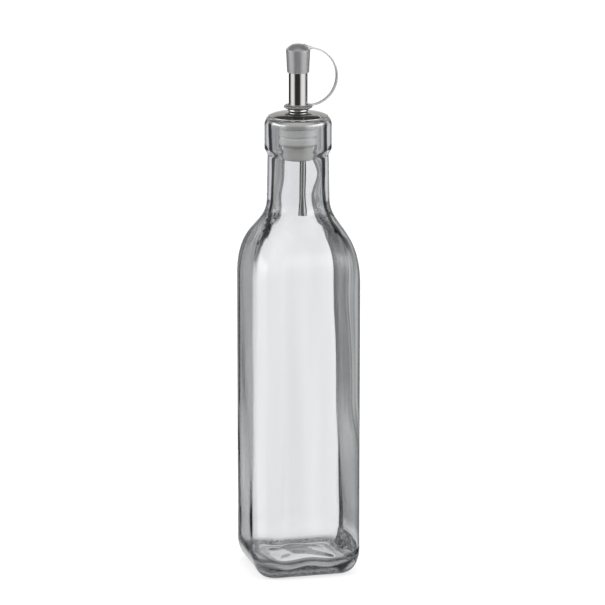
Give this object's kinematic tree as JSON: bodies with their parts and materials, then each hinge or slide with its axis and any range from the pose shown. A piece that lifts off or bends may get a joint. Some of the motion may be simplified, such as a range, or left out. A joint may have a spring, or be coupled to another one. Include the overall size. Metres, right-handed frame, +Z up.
{
  "type": "oil and vinegar bottle",
  "caption": "Tall square clear glass bottle with a round neck and a lift-out steel pourer with a finned plug, air tube and tethered soft cap.",
  "frame": {"origin": "middle of the base, on the surface the bottle stands on", "axes": "+Z up along the neck and spout, +X towards the cap's strap"},
  "size_m": [0.06, 0.06, 0.2912],
  "materials": {
    "glass": "clear, fire-polished",
    "steel": "mirror polished",
    "plug": "milky, translucent",
    "silicone": "satin, slightly translucent"
  },
  "bodies": {
    "bottle": {"glass_bottle": "glass"},
    "pourer": {"drip_dome": "steel", "spout_tube": "steel", "stopper_plug": "plug", "vent_tube": "steel"},
    "tether": {"strap_ring": "silicone", "cap_strap": "silicone"},
    "cap": {"spout_cap": "silicone"}
  },
  "joints": [
    {"name": "pourer_lift", "type": "slide", "parent": "bottle", "child": "pourer", "axis": [0, 0, 1], "range_m": [0, 0.06]},
    {"name": "ring_swivel", "type": "hinge", "parent": "pourer", "child": "tether", "pos_m": [0, 0, 0.257], "axis": [0, 0, 1], "continuous": true},
    {"name": "cap_pull", "type": "slide", "parent": "tether", "child": "cap", "axis": [0, 0, 1], "range_m": [0, 0.0125], "deforming": ["cap_strap"]}
  ]
}
